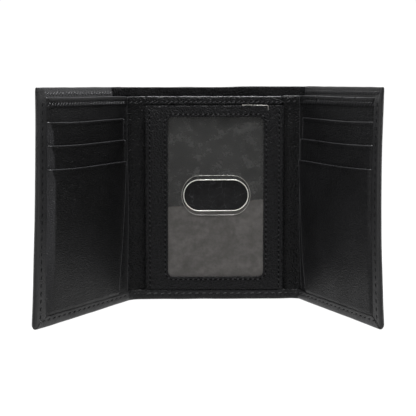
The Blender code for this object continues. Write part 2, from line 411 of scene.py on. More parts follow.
def leather(name, base, rough, pebble, fine, crease, specular, cells_per_metre, painted_grain_light=0.0, painted_sheen_base=0.0):
    """Black leather: pebble, fine and crease are bump heights of its three kinds of grain, in mm.

    The painted grain light paints shade into the valleys between the pebbles and a highlight onto their crowns,
    and the painted sheen base is the colour of a painted sheen on the stretch that a point attribute marks.
    """
    m = Nodes(name)
    cloud = m.texture(55.0, 5.0, 0.6)
    colour = m.ramp(cloud, [(0.3, grey(base * 0.75)), (0.7, grey(base * 1.35))])
    cells = m.add("ShaderNodeTexVoronoi", {"Vector": m.place, "Scale": cells_per_metre, "Randomness": 1.0},
                  feature="SMOOTH_F1")
    small = m.texture(1500.0, 3.0)
    slanted = m.moved((750.0, 750.0, 2000.0), (0.0, 0.3, 0.2))
    creases = m.texture(1.0, 3.0, place=slanted, Distortion=1.0)
    height = m.mix("MULTIPLY", cells.outputs["Distance"], pebble)
    height = m.mix("ADD", height, m.mix("MULTIPLY", small, fine))
    height = m.mix("ADD", height, m.mix("MULTIPLY", creases, crease))
    m.bump(height, 1.0, 1.0)
    if painted_grain_light:
        # Painted shade in the valleys between the pebbles and painted highlights on their crowns, in place of
        # raking light on the grain.
        relief = m.mix("ADD", cells.outputs["Distance"], m.mix("MULTIPLY", small, 0.6))
        grain_light_tint = m.ramp(relief, [(0.42, grey(base * (1 - painted_grain_light))), (0.8, grey(base * (1 + 3 * painted_grain_light)))])
        colour = m.blend(0.6, colour, grain_light_tint)
    if painted_sheen_base:
        # Painted sheen: a paler colour over the stretch that the point attribute marks.
        band = m.add("ShaderNodeAttribute", attribute_name="wear_and_sheen")
        colour = m.blend(band.outputs["Fac"], colour, (*grey(painted_sheen_base), 1.0))
    m.link(colour, "Base Color")
    wear_and_sheen = m.texture(130.0, 6.0, 0.65)
    m.link(m.spread(wear_and_sheen, rough - 0.07, rough + 0.09), "Roughness")
    m.fix(Specular_IOR_Level=specular)
    return m.material


def cloth(name, base, threads_per_mm):
    m = Nodes(name)
    weave = threads_per_mm * 1000.0 * math.pi
    waves = [m.add("ShaderNodeTexWave", {"Vector": m.place, "Scale": weave / 20.0, "Distortion": 0.3},
                   bands_direction=axis) for axis in "XZ"]
    height = m.mix("MULTIPLY", *[wave.outputs["Fac"] for wave in waves])
    m.bump(height, 0.6, 0.1)
    cloud = m.texture(90.0, 4.0)
    m.link(m.ramp(cloud, [(0.3, grey(base * 0.8)), (0.7, grey(base * 1.3))]), "Base Color")
    m.fix(Roughness=0.8, Sheen_Weight=0.15)
    return m.material


def thread_material(name, dark, light, specular):
    m = Nodes(name)
    twist = m.moved((2600.0, 2600.0, 2600.0), (0.6, 0.0, 0.6))
    strands = m.texture(1.0, 2.0, place=twist)
    m.link(m.ramp(strands, [(0.35, grey(dark)), (0.7, grey(light))]), "Base Color")
    m.bump(strands, 0.6, 0.05)
    m.fix(Roughness=0.5, Specular_IOR_Level=specular)
    return m.material


def film_material():
    """Clear vinyl, clouded by rubbing; below a slanted line it clings to the sheet behind, and is paler."""
    m = Nodes("clear_film")
    rubbed = m.moved((1.0, 1.0, 1.6))
    cloud = m.texture(330.0, 5.0, 0.68)
    patches = m.texture(90.0, 6.0, 0.65, place=rubbed)
    both = m.mix("MULTIPLY", cloud, patches)
    loose = m.ramp(both, [(0.12, (0.022, 0.022, 0.021)), (0.26, (0.04, 0.04, 0.039)),
                          (0.42, (0.066, 0.066, 0.064))])
    clings = m.ramp(both, [(0.15, (0.074, 0.07, 0.066)), (0.25, (0.093, 0.088, 0.084)),
                           (0.36, (0.118, 0.112, 0.107))])
    split = m.add("ShaderNodeSeparateXYZ", {"Vector": m.place})
    line = m.mix("ADD", m.mix("MULTIPLY", split.outputs["X"], -FILM_SLOPE), split.outputs["Z"])
    below = m.spread(line, 1.0, 0.0, (FILM_LINE - 0.4) * MM, (FILM_LINE + 0.4) * MM)
    m.link(m.blend(below, loose, clings), "Base Color")
    m.link(m.spread(patches, 0.8, 0.88), "Alpha")
    m.link(m.spread(patches, 0.36, 0.5), "Roughness")
    waves = m.texture(120.0, 1.0)
    m.bump(waves, 0.12, 0.3)
    m.fix(Specular_IOR_Level=0.2)
    return m.material


def rim_material(name, share):
    """The film's cut edge, coloured pale as a painted highlight of its shine; share scales how pale it is."""
    m = Nodes(name)
    cloud = m.texture(160.0, 4.0)
    dark, pale = (0.42, 0.41, 0.37), (0.8, 0.79, 0.74)
    dark, pale = [tuple(share * value for value in colour) for colour in (dark, pale)]
    m.link(m.ramp(cloud, [(0.3, dark), (0.7, pale)]), "Base Color")
    m.fix(Roughness=0.12, Coat_Weight=0.6)
    return m.material


def backing_material():
    """Dark card behind the film, with hair-fine scratches."""
    m = Nodes("backing")
    bent = m.add("ShaderNodeTexNoise", {"Vector": m.place, "Scale": 120.0, "Detail": 3.0})
    moved = m.add("ShaderNodeMixRGB", {"Fac": 0.012, "Color1": m.place, "Color2": bent.outputs["Color"]})
    lines = m.add("ShaderNodeTexVoronoi", {"Vector": moved.outputs["Color"], "Scale": 190.0},
                  feature="DISTANCE_TO_EDGE")
    cloud = m.texture(300.0, 6.0, 0.7)
    wear_and_sheen = m.mix("ADD", m.spread(lines.outputs["Distance"], 0.2, 0.0, 0.0, 0.04), cloud)
    m.link(m.ramp(wear_and_sheen, [(0.35, grey(0.002)), (0.62, grey(0.008)), (0.95, grey(0.055))]), "Base Color")
    m.fix(Roughness=0.6, Specular_IOR_Level=0.2)
    return m.material


SHELL_LEATHER = leather("shell_leather", 0.008, 0.42, 0.5, 0.2, 0.12, 0.4, 1100.0, painted_grain_light=0.6)
SMOOTH_LEATHER = leather("smooth_leather", 0.008, 0.44, 0.1, 0.1, 0.1, 0.41, 1500.0)
# Lighter copy of the smooth leather for the left wing's top hem: painted light where that hem catches more light.
LIT_TOP_LEATHER = leather("lit_top_leather", 0.02, 0.4, 0.1, 0.2, 0.1, 0.46, 1500.0)
POCKET_LEATHER = leather("pocket_leather", 0.003, 0.34, 0.03, 0.05, 0.36, 0.19, 1500.0, painted_sheen_base=0.02)
# Lighter, less glossy copy of the pocket leather for the right wing: painted light for how light falls on that
# wing.
RIGHT_LEATHER = leather("pocket_leather_right", 0.006, 0.34, 0.03, 0.05, 0.36, 0.14, 1500.0)
GRAINED_LEATHER = leather("grained_leather", 0.0034, 0.34, 0.6, 0.2, 0.03, 0.12, 1250.0, painted_grain_light=0.95)
STRIP_LEATHER = leather("strip_leather", 0.0022, 0.34, 0.6, 0.2, 0.03, 0.11, 1250.0, painted_grain_light=0.95)
FACING_LEATHER = leather("facing_leather", 0.003, 0.38, 0.4, 0.2, 0.03, 0.09, 1250.0, painted_grain_light=0.95)
# Darker, duller copy of the outer leather for the hem across the centre and folds: painted shade.
HEM_LEATHER = leather("hem_leather", 0.0045, 0.4, 0.3, 0.15, 0.05, 0.17, 1250.0, painted_grain_light=0.9)
# Lighter, glossier copy of the leather for the thin edge lines: painted highlight along the shining edges.
EDGE_LEATHER = leather("edge_leather", 0.02, 0.3, 0.02, 0.06, 0.05, 0.42, 1500.0)
SLIP_LEATHER = leather("slip_leather", 0.005, 0.36, 0.05, 0.1, 0.2, 0.3, 1500.0)
LINING_CLOTH = cloth("lining_cloth", 0.018, 1.6)
THREAD = thread_material("black_thread", 0.002, 0.008, 0.1)
# Two lighter copies of the same black thread: their paler colour is painted sheen, for stitches that catch the
# light on dark leather.
LIT_THREAD = thread_material("lit_thread", 0.01, 0.05, 0.3)
FRAME_THREAD = thread_material("frame_thread", 0.008, 0.03, 0.2)
# Near-black material for tubes laid along the seams under the stitches: painted shade of the seam's groove and
# needle holes.
SEAM_SHADE = thread_material("painted_seam_shade", 0.0003, 0.0008, 0.02)
FILM = film_material()
# Pale rim colours stand for the glint of the film's cut edge: painted highlight, the dim copy fainter.
RIM = rim_material("film_rim", 1.0)
DIM_RIM_HIGHLIGHT = rim_material("film_rim_dim_highlight", 0.35)
BACKING = backing_material()


def dress(piece, material):
    piece.data.materials.clear()
    piece.data.materials.append(material)
    return piece


def fine_ridge(name, points, radius, material):
    """A thin raised line along points in metres."""
    loops = []
    for k, point in enumerate(points):
        heading = (points[min(k + 1, len(points) - 1)] - points[max(k - 1, 0)]).normalized()
        across = heading.cross(Vector((0.0, -1.0, 0.0))).normalized()
        out = across.cross(heading)
        loops.append([point + (across * math.cos(t) + out * math.sin(t)) * radius * MM for t in full_turn(8)])
    return dress(loft(name, loops, around=True, caps=True), material)


# ---- outer leather


def back_bulge(x, z):
    """How far the outer leather stands back behind the bill compartment."""
    return BULGE * smooth(BULGE_EDGE - abs(x), 0.0, 17.0) * smooth(z, 2.0, 22.0)


def front_level(half, s, z=50.0):
    """Height of the hem's front face: the wings grow thinner towards their tips and at the top corner."""
    if s <= half.edge:
        return HEM_FRONT
    if s < half.wing:
        share = (s - half.edge) / half.fold
        return HEM_FRONT + (FOLD_LEVEL - HEM_FRONT) * share - FOLD_DIP * math.sin(math.pi * share)
    share = half.wing_share(s)
    level = FOLD_LEVEL + (TIP_LEVEL - FOLD_LEVEL) * share ** 1.2
    return level + (back_level(half, s) + 1.95 - level) * smooth(z, 102.3, 104.6)


def back_level(half, s):
    """Height of the outer face of the leather, which comes nearer on the thin tips of the wings."""
    return SHELL_BACK + (TIP_BACK - SHELL_BACK) * half.wing_share(s) ** 1.5


# Rows of the outer leather, from the hem's edge back: inset from the bottom, inset from the tip, n
HEM_ROWS = [
    (HEM_BOTTOM, HEM_SIDE, 1.3),
    (HEM_BOTTOM, HEM_SIDE, 1.72),
    (HEM_BOTTOM - 0.15, HEM_SIDE - 0.15, HEM_FRONT),
    (SEAM_UP + 0.6, SEAM_IN + 0.6, HEM_FRONT + 0.02),
    (SEAM_UP, SEAM_IN, HEM_FRONT - 0.14),
    (SEAM_UP - 0.6, SEAM_IN - 0.6, HEM_FRONT + 0.02),
    (1.7, 1.0, HEM_FRONT),
    (0.95, 0.6, HEM_FRONT - 0.2),
    (0.4, 0.3, 1.3),
    (0.08, 0.08, 0.4),
    (0.0, 0.0, -0.55),
    (0.12, 0.12, -1.6),
    (0.55, 0.5, -2.5),
    (1.3, 1.2, SHELL_BACK + 0.1),
    (2.4, 2.2, SHELL_BACK),
]

# Steps round the bottom corner of a wing, with the pleat of its hem: share of the turn, depth
CORNER_STEPS = ((0.15, 0.0), (0.32, 0.0), (0.44, -0.05), (0.5, 0.7), (0.56, -0.05), (0.68, 0.0), (0.85, 0.0))


def shell_wave(half, s, n, z):
    """Unevenness of the outer leather at a place."""
    return uneven(half.at(s, n, z) / MM, (22.0, 0.16), (5.0, 0.05, 3.0))


def outer_leather(half):
    """Half of the outer leather, from the middle of the back to a wing's tip, hems included."""
    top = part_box("shell_" + half.name)[1].z / MM
    width = half.end - half.wing
    rows = list(HEM_ROWS)
    first_b, first_d, _ = rows[-1]
    for b in spaced(first_b, top, 2.6)[1:]:
        share = (b - first_b) / (top - first_b)
        rows.append((b, first_d + (width - first_d) * share, SHELL_BACK))
    straight = spaced(0.0, half.edge, 2.4) + spaced(half.edge, half.wing, 0.8)[1:]
    loops = []
    for b, d, n in rows:
        radius = max(CORNER_RADIUS - min(b, d), 0.5 if n > 0.5 else 0.06)
        radius = min(radius, width - d, top - b) if d < width else 0.0
        points = []

        def add(s, z, dip=0.0):
            depth = n - dip
            level, back = front_level(half, s, z), back_level(half, s)
            depth = back + (depth - SHELL_BACK) * (level - back) / (HEM_FRONT - SHELL_BACK)
            if n < -1.0:
                depth = back + n - dip - SHELL_BACK - back_bulge(min(s, half.edge), z)
            else:
                inset = half.end - s
                if s > half.wing and n > 0.5:
                    hem = half.hem(z)
                    s = half.end - (inset * hem / HEM_SIDE if inset < HEM_SIDE else
                                    hem + (inset - HEM_SIDE) * (width - hem) / (width - HEM_SIDE))
            lift = ripple(half.at(s, depth, z) / MM, 9.0, 0.16, 5.0) if z < 3.0 or z > top - 1.0 else 0.0
            points.append(half.at(s, depth + shell_wave(half, s, depth, z), max(z + lift, 0.0)))

        for s in straight:
            add(s, b)
        stop = half.end - d - radius
        for share in spaced(0.0, 1.0, 1 / 26)[1:]:
            add(half.wing + (stop - half.wing) * share, b)
        for share, dip in CORNER_STEPS:
            turn = math.pi / 2 * share
            dip = dip if n > 0.5 else 0.0
            add(stop + radius * math.sin(turn), b + radius * (1 - math.cos(turn)), dip)
        for share in spaced(0.0, 1.0, 1 / 40):
            add(half.end - d, b + radius + (top - b - radius) * share)
        loops.append(points)
    piece = loft("outer_leather_" + half.name, loops)
    thicken(piece, SHELL, half.at(half.wing + width / 2, -60.0, top / 2), flat_middle=True)
    dress(piece, SHELL_LEATHER)
    piece.data.materials.append(HEM_LEATHER)
    piece.data.materials.append(SMOOTH_LEATHER)
    # Hem front faces: a darker copy across the centre and folds (painted shade) and a lighter, glossier one on the
    # wings (painted light).
    for face in piece.data.polygons:
        s, n = half.section_of(face.center / MM)
        if n > (front_level(half, s) + back_level(half, s)) / 2 + 0.3:
            face.material_index = 1 if s < half.wing else 2
    bend(piece, half)
    stands_for = ["shell_" + half.name, "shell_fold_" + half.name]
    if half is LEFT:
        stands_for.append("shell_centre")
    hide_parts(*stands_for)


# ---- stitches


# Rings of a stitch: place along it (-1 to 1), share of its width, lift over the leather
STITCH_RINGS = ((-1.0, 0.4, -0.16), (-0.75, 0.9, 0.02), (-0.3, 1.0, 0.1), (0.3, 1.0, 0.1),
                (0.75, 0.9, 0.02), (1.0, 0.4, -0.16))
HEM_STITCH = {"pitch": 2.4, "length": 1.9, "material": FRAME_THREAD}
WINDOW_STITCH = {"slant": 0.2, "pitch": 2.5, "length": 1.5, "material": FRAME_THREAD}


def stitches(name, place, path, height, body, nodes, slant=0.2, pitch=PITCH, length=STITCH_LENGTH,
             material=None):
    """A row of separate lockstitches along a path of (across, up) points, dipping into the leather."""
    points = [Vector(p) for p in path]
    lengths = path_lengths(points)
    count = max(int(lengths[-1] / pitch), 1)
    shape = bmesh.new()
    for index in range(count):
        reach = (index + 0.5) * lengths[-1] / count
        step = max(int(np.searchsorted(lengths, reach)) - 1, 0)
        share = (reach - lengths[step]) / (lengths[step + 1] - lengths[step])
        middle = points[step].lerp(points[step + 1], share)
        heading = (points[step + 1] - points[step]).normalized()
        turn = math.atan2(heading.y, heading.x) + slant
        forward = Vector((math.cos(turn), math.sin(turn)))
        across = Vector((-forward.y, forward.x))
        loops = []
        for position, width, lift in STITCH_RINGS:
            loop = []
            for angle in full_turn(6):
                spot = middle + forward * (position * length / 2)
                spot += across * (STITCH_RADIUS * width * math.cos(angle))
                n = height(spot.x, spot.y) + lift + STITCH_RADIUS * 0.6 * width * math.sin(angle)
                loop.append(place(spot.x, n, spot.y))
            loops.append(loop)
        add_loft(shape, loops, around=True, caps=True)
    piece = new_piece(name, shape)
    dress(piece, material or THREAD)
    if body:
        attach(piece, body)
    if nodes:
        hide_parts(*nodes)
    return piece


# ---- wings


# Rows of a sheet below its top edge; place and depth of the shining line along an edge; feet of the sheets
EDGE_ROWS = (0.0, 0.12, 0.3, 0.55, 0.9, 1.5, 2.0, 2.5, 2.9, 3.3, 3.9, 4.3, 5.0)
LINE_DROP = 0.2
LINE_SINK = 0.04
POCKET_BOTTOM = 3.9
DIVIDER_BOTTOM = 2.5
ORDER_STEP = 0.42
TOP_HEM = 4.2
TOP_SEAM = 2.9
# Height of the pockets' stack over the thin tip; widest and least stretch where a pocket bends down
# beside the side hem; and how far above the bottom hem the front pocket has risen
TIP_STACK = {"left": 1.2, "right": 0.5}
HEM_REACH = {"left": (4.6, 0.8), "right": (1.6, 1.6)}
FRONT_FOOT = {"left": 30.0, "right": 20.0}
# The right wing's pockets and slip panel use that lighter copy: painted light.
POCKET_SKIN = {"left": POCKET_LEATHER, "right": RIGHT_LEATHER}
SLIP_SKIN = {"left": SLIP_LEATHER, "right": RIGHT_LEATHER}


def rolled(distance, depth=0.42):
    """Height of a turned edge over its sheet, by distance from the edge: it rolls over and is thicker."""
    roll = -depth * max(1.0 - distance / 0.6, 0.0) ** 2
    return roll + 0.2 * (1.0 - smooth(distance, 1.2, 1.9))


def top_hem(distance):
    """Height of the sewn hem along the top of the inside, with the groove that its seam pulls in."""
    hem = 0.32 * (1.0 - smooth(distance, TOP_HEM - 0.3, TOP_HEM))
    groove = 0.16 * math.exp(-((distance - TOP_SEAM) / 0.45) ** 2)
    return hem - groove - 0.6 * max(1.0 - distance / 0.8, 0.0) ** 2


def pocket_side(half, z):
    """Where the pockets' fold-side edge stands, along the wing from the fold."""
    if half is LEFT:
        return 3.8 + 4.8 * (1 - smooth(z, 5.0, 80.0))
    return 3.0 + 5.2 * (1 - smooth(z, 0.0, 78.0)) + 1.8 * smooth(z, 70.0, 105.0)


def slip_side(half, z):
    """Where the slip panel's fold-side edge stands, along the wing from the fold."""
    if half is LEFT:
        return -0.4 - 0.7 * math.sin(math.pi * smooth(z, 5.0, 95.0))
    return max(pocket_side(half, z) - 6.1, -0.3)


class WingSheet:
    """A card pocket or slip panel: edges rolled at the top and the fold side, tucked under the hems."""

    def __init__(self, half, stack, order, bottom, top, side_edge, hem=False, sag=0.0, crown=0.0,
                 foot_reach=13.0):
        self.half, self.stack, self.order, self.bottom, self.top = half, stack, order, bottom, top
        self.side_edge, self.hem, self.sag, self.crown = side_edge, hem, sag, crown
        self.foot_reach = foot_reach
        self.end = half.end - HEM_SIDE + 1.2

    def edge_top(self, share):
        return self.top - self.sag * math.sin(math.pi * share) + 0.12 * math.sin(2.2 * math.pi * share)

    def height(self, s, z, top=None):
        """Front surface over the divider at a place on the wing."""
        half = self.half
        from_side = s - half.wing - self.side_edge(half, z)
        from_top = (self.top if top is None else top) - z
        thin = TIP_LEVEL + TIP_STACK[half.name] - ORDER_STEP * (3 - self.order)
        n = self.stack + (thin - self.stack) * half.wing_share(s) ** 1.3
        n += top_hem(from_top) if self.hem else rolled(from_top)
        n += 0.7 * rolled(from_side, 0.3) + 0.25 * math.exp(-((from_side - 0.5) / 0.35) ** 2)
        level = front_level(half, s)
        low = min(n, level - 0.35 - 0.12 * (3 - self.order))
        widest, least = HEM_REACH[half.name]
        reach = max(widest * math.sqrt(smooth(from_top, -1.5, 12.0)), least)
        lean = smooth(half.end - half.hem(z) - s, -0.5, reach)
        foot = 0.5 * smooth(z, HEM_BOTTOM - 0.4, HEM_BOTTOM + 1.3)
        foot += 0.5 * smooth(z, HEM_BOTTOM, HEM_BOTTOM + self.foot_reach)
        n = low + (n - low) * lean * foot
        across = clamp(from_side / (self.end - half.wing))
        n += self.crown * math.sin(math.pi * across) * foot
        spot = half.at(s, n, z) / MM
        return n + ripple(spot, 26.0, 0.22, 11.0) * lean + ripple(spot, 6.0, 0.03, 2.0)

    def place(self, share, row):
        kind, value = row
        edge_top = self.edge_top(share)
        if kind == "edge":
            z = edge_top - value
        else:
            z = self.bottom + value * (self.top - self.bottom) * edge_top / self.top
        first = self.half.wing + self.side_edge(self.half, z)
        s = first + (self.end - first) * share
        return self.half.at(s, self.height(s, z, edge_top), z)

    def build(self, name, nodes, material):
        shares = [0.0, 0.0025, 0.008, 0.02, 0.04] + spaced(0.06, 0.86, 0.035) + spaced(0.875, 1.0, 0.0155)
        rows = [("up", 0.0)]
        rows += [("up", (z - self.bottom) / (self.top - self.bottom))
                 for z in (*spaced(4.6, 8.0, 0.6), *spaced(10.0, self.top - 6.0, 2.3))]
        rows += [("edge", distance) for distance in reversed(EDGE_ROWS)]
        loops = [[self.place(share, row) for share in shares] for row in rows]
        piece = loft(name, loops)
        half = self.half
        thicken(piece, 0.4, half.at(half.wing + 35.0, 60.0, self.top / 2))
        dress(piece, material)
        if half is LEFT and self.order > 0:
            # The left pockets get a painted sheen beside the side hem.
            self.wear(piece)
        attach(piece, half.body)
        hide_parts(*nodes)

    def wear(self, piece):
        """Marks the stretch beside the side hem, where the pocket bends down under it, for a painted sheen in
        place of the light that slope catches.
        """
        half = self.half
        wear_and_sheen = piece.data.attributes.new("wear_and_sheen", "FLOAT", "POINT")
        for vertex in piece.data.vertices:
            place = vertex.co / MM
            reach = half.wing + (place.xy - half.bend_out).dot(half.along)
            inset = half.end - three_way(half.draw, place.z / HEIGHT) - reach - half.hem(place.z)
            width = 3.8 * math.sqrt(smooth(self.top - place.z, -1.0, 6.0))
            share = 0.4 + 0.6 * smooth(place.z, 10.0, 42.0)
            wear_and_sheen.data[vertex.index].value = share * (1.0 - smooth(inset, width - 0.4, width + 0.8))

    def top_line(self, name, radius=0.24):
        """The shining fold along the sheet's top edge, from its side edge to the hem."""
        half = self.half
        first = half.wing + self.side_edge(half, self.top)
        last = half.end - half.hem(self.top) + 0.5
        points = []
        for s in spaced(first + 0.2, last, 1.5):
            share = (s - first) / (self.end - first)
            edge_top = self.edge_top(share)
            z = edge_top - LINE_DROP
            points.append(half.at(s, self.height(s, z, edge_top) - LINE_SINK, z))
        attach(fine_ridge(name, points, radius, EDGE_LEATHER), half.body)

    def side_line(self, name):
        """The shining fold along the sheet's fold-side edge."""
        half = self.half
        points = []
        for z in spaced(HEM_BOTTOM + 0.3, self.top - 0.4, 2.5):
            s = half.wing + self.side_edge(half, z) + 0.3
            points.append(half.at(s, self.height(s, z) - LINE_SINK, z))
        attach(fine_ridge(name, points, 0.16, EDGE_LEATHER), half.body)


def on_shell(half):
    """Height of the hem's front face along the outer leather, in the groove of its seam."""
    def height(s, z):
        level = front_level(half, s, z)
        return level - 0.16 + shell_wave(half, s, level, z)
    return height


def make_wing(half):
    side = half.name
    for order, kind, foot in ((1, "upper", 13.0), (2, "middle", 18.0), (3, "front", FRONT_FOOT[side])):
        node = f"card_pocket_{kind}_{side}"
        _, high = half.span(node)
        pocket = WingSheet(half, high[1] - 0.1, order, POCKET_BOTTOM, high[2], pocket_side, sag=0.45,
                           crown=0.35, foot_reach=foot)
        pocket.build(f"pocket_{kind}_{side}", [node], POCKET_SKIN[side])
        pocket.top_line(f"pocket_{kind}_edge_{side}")
        pocket.side_line(f"pocket_{kind}_side_{side}")
    _, high = half.span("slip_panel_" + side)
    slip = WingSheet(half, high[1], 0, POCKET_BOTTOM, high[2], slip_side, hem=True, crown=0.1)
    slip.build("slip_" + side, ["slip_panel_" + side], SLIP_SKIN[side])
    slip.top_line("slip_edge_" + side, radius=0.34)
    slip.side_line("slip_side_edge_" + side)
    _, high = half.span("divider_" + side)
    divider = WingSheet(half, high[1] - 0.1, -1, DIVIDER_BOTTOM, high[2] - 0.4, lambda h, z: 0.4)
    divider.build("divider_leather_" + side, ["divider_" + side], POCKET_LEATHER)

    top = slip.top - TOP_SEAM
    ends = half.end - HEM_SIDE
    route = [(half.wing + pocket_side(half, top) - 1.6, top), (ends - 0.5, top)]
    stitches("top_stitches_" + side, half.at, route, lambda s, z: slip.height(s, z) + 0.14, half.body,
             ["top_seam_" + side], slant=0.8 * half.side, pitch=2.1, length=2.2, material=LIT_THREAD)
    up = [(half.wing + (slip_side(half, z) + pocket_side(half, z)) / 2, z) for z in spaced(6.5, 98.0, 4.0)]
    stitches("pocket_stitches_" + side, half.at, up, slip.height, half.body, [], slant=0.15)
    hem = on_shell(half)
    inset = SEAM_IN / HEM_SIDE
    side_path = [(half.end - half.hem(z) * inset, z) for z in spaced(SEAM_UP + 0.4, 102.0, 4.0)]
    bottom_path = [(half.wing + 1.2, SEAM_UP), (side_path[0][0] - 0.6, SEAM_UP)]
    stitches("bottom_stitches_" + side, half.at, bottom_path, hem, half.body, ["bottom_seam_" + side],
             slant=0.25 * half.side)
    stitches("side_stitches_" + side, half.at, side_path, hem, half.body, ["side_seam_" + side], slant=0.15)


# ---- folds


def bend(piece, half):
    """Bakes a piece's placement into its mesh; the points at the ends of the fold between the centre section and
    the wing are worked out but not used, so nothing bends.
    """
    middle = 50.0
    start, end = half.at(half.edge - 0.5, 0.0, middle), half.at(half.wing + 0.8, 0.0, middle)
    tuple(start)
    tuple(end)
    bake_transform(piece)


def strip_height(half, s, z, top):
    """Front of the pebbled strip inside a fold."""
    share = clamp((s - half.edge) / half.fold)
    n = 0.35 + 0.55 * math.sin(math.pi * min(share * 1.15, 1.0)) * (1.0 if half is LEFT else 0.8)
    n += top_hem(top - z)
    foot = smooth(z, 3.0, 9.0)
    n = 0.9 + (n - 0.9) * foot if n > 0.9 else n
    return n + uneven(half.at(s, n, z) / MM, (14.0, 0.25, 7.0), (5.0, 0.07, 1.0))


def make_fold(half):
    side = half.name
    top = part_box("inner_fold_" + side)[1].z / MM
    columns = spaced(half.edge - 0.9, half.wing, 0.7) + spaced(half.wing, half.wing + 3.4, 0.8)[1:]
    rows = spaced(3.4, top - 6.0, 2.3) + [top - t for t in reversed(EDGE_ROWS)]
    loops = [[half.at(s, strip_height(half, s, z, top), z) for s in columns] for z in rows]
    strip = loft("fold_strip_" + side, loops)
    thicken(strip, PANEL, half.at(half.wing, 40.0, top / 2))
    dress(strip, STRIP_LEATHER)
    bend(strip, half)
    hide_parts("inner_fold_" + side)
    line = top - LINE_DROP
    edge = [half.at(s, strip_height(half, s, line, top) - LINE_SINK, line) for s in columns]
    bend(fine_ridge("fold_edge_" + side, edge, 0.26, EDGE_LEATHER), half)

    seam = top - TOP_SEAM
    for name, route, height, slant in (
        ("fold_top_stitches_", [(half.edge + 0.3, seam), (half.wing + 0.8, seam)],
         lambda s, z: strip_height(half, s, z, top) + 0.02, 0.5),
        ("fold_bottom_stitches_", [(half.edge - 0.2, SEAM_UP), (half.wing + 1.0, SEAM_UP)],
         on_shell(half), 0.25),
    ):
        row = stitches(name + side, half.at, route, height, None, [], slant=slant * half.side, **HEM_STITCH)
        bend(row, half)


# ---- lining and top facing


LINING_FRONT = -1.55
FACING_FRONT = -1.2
FACING_HEIGHT = 11.0
TOP_HEM_HEIGHT = 7.0
TOP_LEAN = {"left": 1.1, "right": 0.4}
# The darker facing reaches further into the left wing, painted shade near the fold; the left wing's top hem gets
# the lighter leather copy, painted light.
FACING_REACH = {"left": 9.0, "right": 1.0}
TOP_SKIN = {"left": LIT_TOP_LEATHER, "right": SMOOTH_LEATHER}


def inner_sheet(name, half, first, last, bottom, top, front, thickness, material, lean=0.0):
    """A sheet glued to the inside of the outer leather, between two distances along the wallet."""
    def place(s, z):
        n = front - back_bulge(min(s, half.edge), z) + back_level(half, s) - SHELL_BACK
        n -= lean * smooth(z, top - TOP_HEM_HEIGHT, top)
        wave = ripple(half.at(s, n, z) / MM, 18.0, 0.12, 9.0)
        roll = 0.3 * max(1.0 - (top - z) / 0.4, 0.0)
        return half.at(s, n + wave - roll, z)

    columns = spaced(first, last, 1.4)
    rows = spaced(bottom, top - 1.5, 3.0) + [top - t for t in (0.7, 0.3, 0.1, 0.0)]
    piece = loft(name, [[place(s, z) for s in columns] for z in rows])
    thicken(piece, thickness, half.at(half.wing, 40.0, 50.0))
    dress(piece, material)
    if first < half.wing:
        bend(piece, half)
    else:
        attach(piece, half.body)
    return piece


def make_lining(half):
    side = half.name
    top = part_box("shell_" + side)[1].z / MM
    end = half.end - SHELL - 0.6
    lining = inner_sheet("cloth_lining_" + side, half, 0.0, end, 1.6, top - 2.0, LINING_FRONT, 0.3,
                         LINING_CLOTH)
    stands_for = ["lining_fold_" + side, "shell_lining_" + side]
    if half is LEFT:
        stands_for.append("shell_lining_centre")
    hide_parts(*stands_for)
    reach = half.wing + FACING_REACH[side]
    inner_sheet("top_facing_" + side, half, 0.0, reach, top - FACING_HEIGHT, top - 0.15,
                FACING_FRONT, 0.4, FACING_LEATHER)
    inner_sheet("top_hem_" + side, half, reach + 0.1, end, top - TOP_HEM_HEIGHT, top - 0.1,
                FACING_FRONT + 0.5, 0.6, TOP_SKIN[side], lean=TOP_LEAN[side])

    def hem_front(s, z):
        lean = TOP_LEAN[side] * smooth(z, top - TOP_HEM_HEIGHT, top)
        return FACING_FRONT + 0.62 + back_level(half, s) - SHELL_BACK - lean

    seam = top - TOP_SEAM
    stitches("facing_stitches_" + side, half.at, [(reach + 1.0, seam), (end - 1.0, seam)], hem_front,
             half.body, [], slant=0.8 * half.side, pitch=2.3, length=2.4, material=LIT_THREAD)


# ---- centre section


def opening(name):
    """Low and high (across, up) corners of an opening in the record, in millimetres."""
    box = next(o for o in frame["record"]["physics"]["openings"] if o["name"] == name)["box_m"]
    return [(corner[0] / MM, corner[2] / MM) for corner in box]


def front_box(node):
    """Low and high (across, up) corners of a CAD node, in millimetres."""
    return [(corner.x / MM, corner.z / MM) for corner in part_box(node)]


WINDOW_CLEAR = 0.4
WINDOW_RADIUS = 2.7
THUMB_LENGTH = 32.1
THUMB_WIDTH = 15.2
FRAME_FRONT = 2.1
SEAM_COLUMN = 32.6
SEAM_ENDS = (6.5, 97.5)
FILM_LEVEL = 1.2
FILM_CEILING = 1.45
# Rows of the frame round the window: how far out, how far below its front; and rows out to its edge
FRAME_RINGS = ((0.0, 0.62), (-0.12, 0.3), (0.05, 0.08), (0.35, 0.0), (0.8, 0.0), (1.0, 0.06), (1.3, 0.16),
               (1.6, 0.06), (1.9, 0.0), (2.4, 0.0))
FRAME_STEPS = 17
# Rows of the film round the thumb slot: how far out, lift
SLOT_RINGS = ((0.0, -0.1), (0.15, 0.08), (0.5, 0.1), (0.9, 0.1), (1.3, 0.05), (1.8, 0.0), (2.6, 0.0))
FILM_STEPS = 12


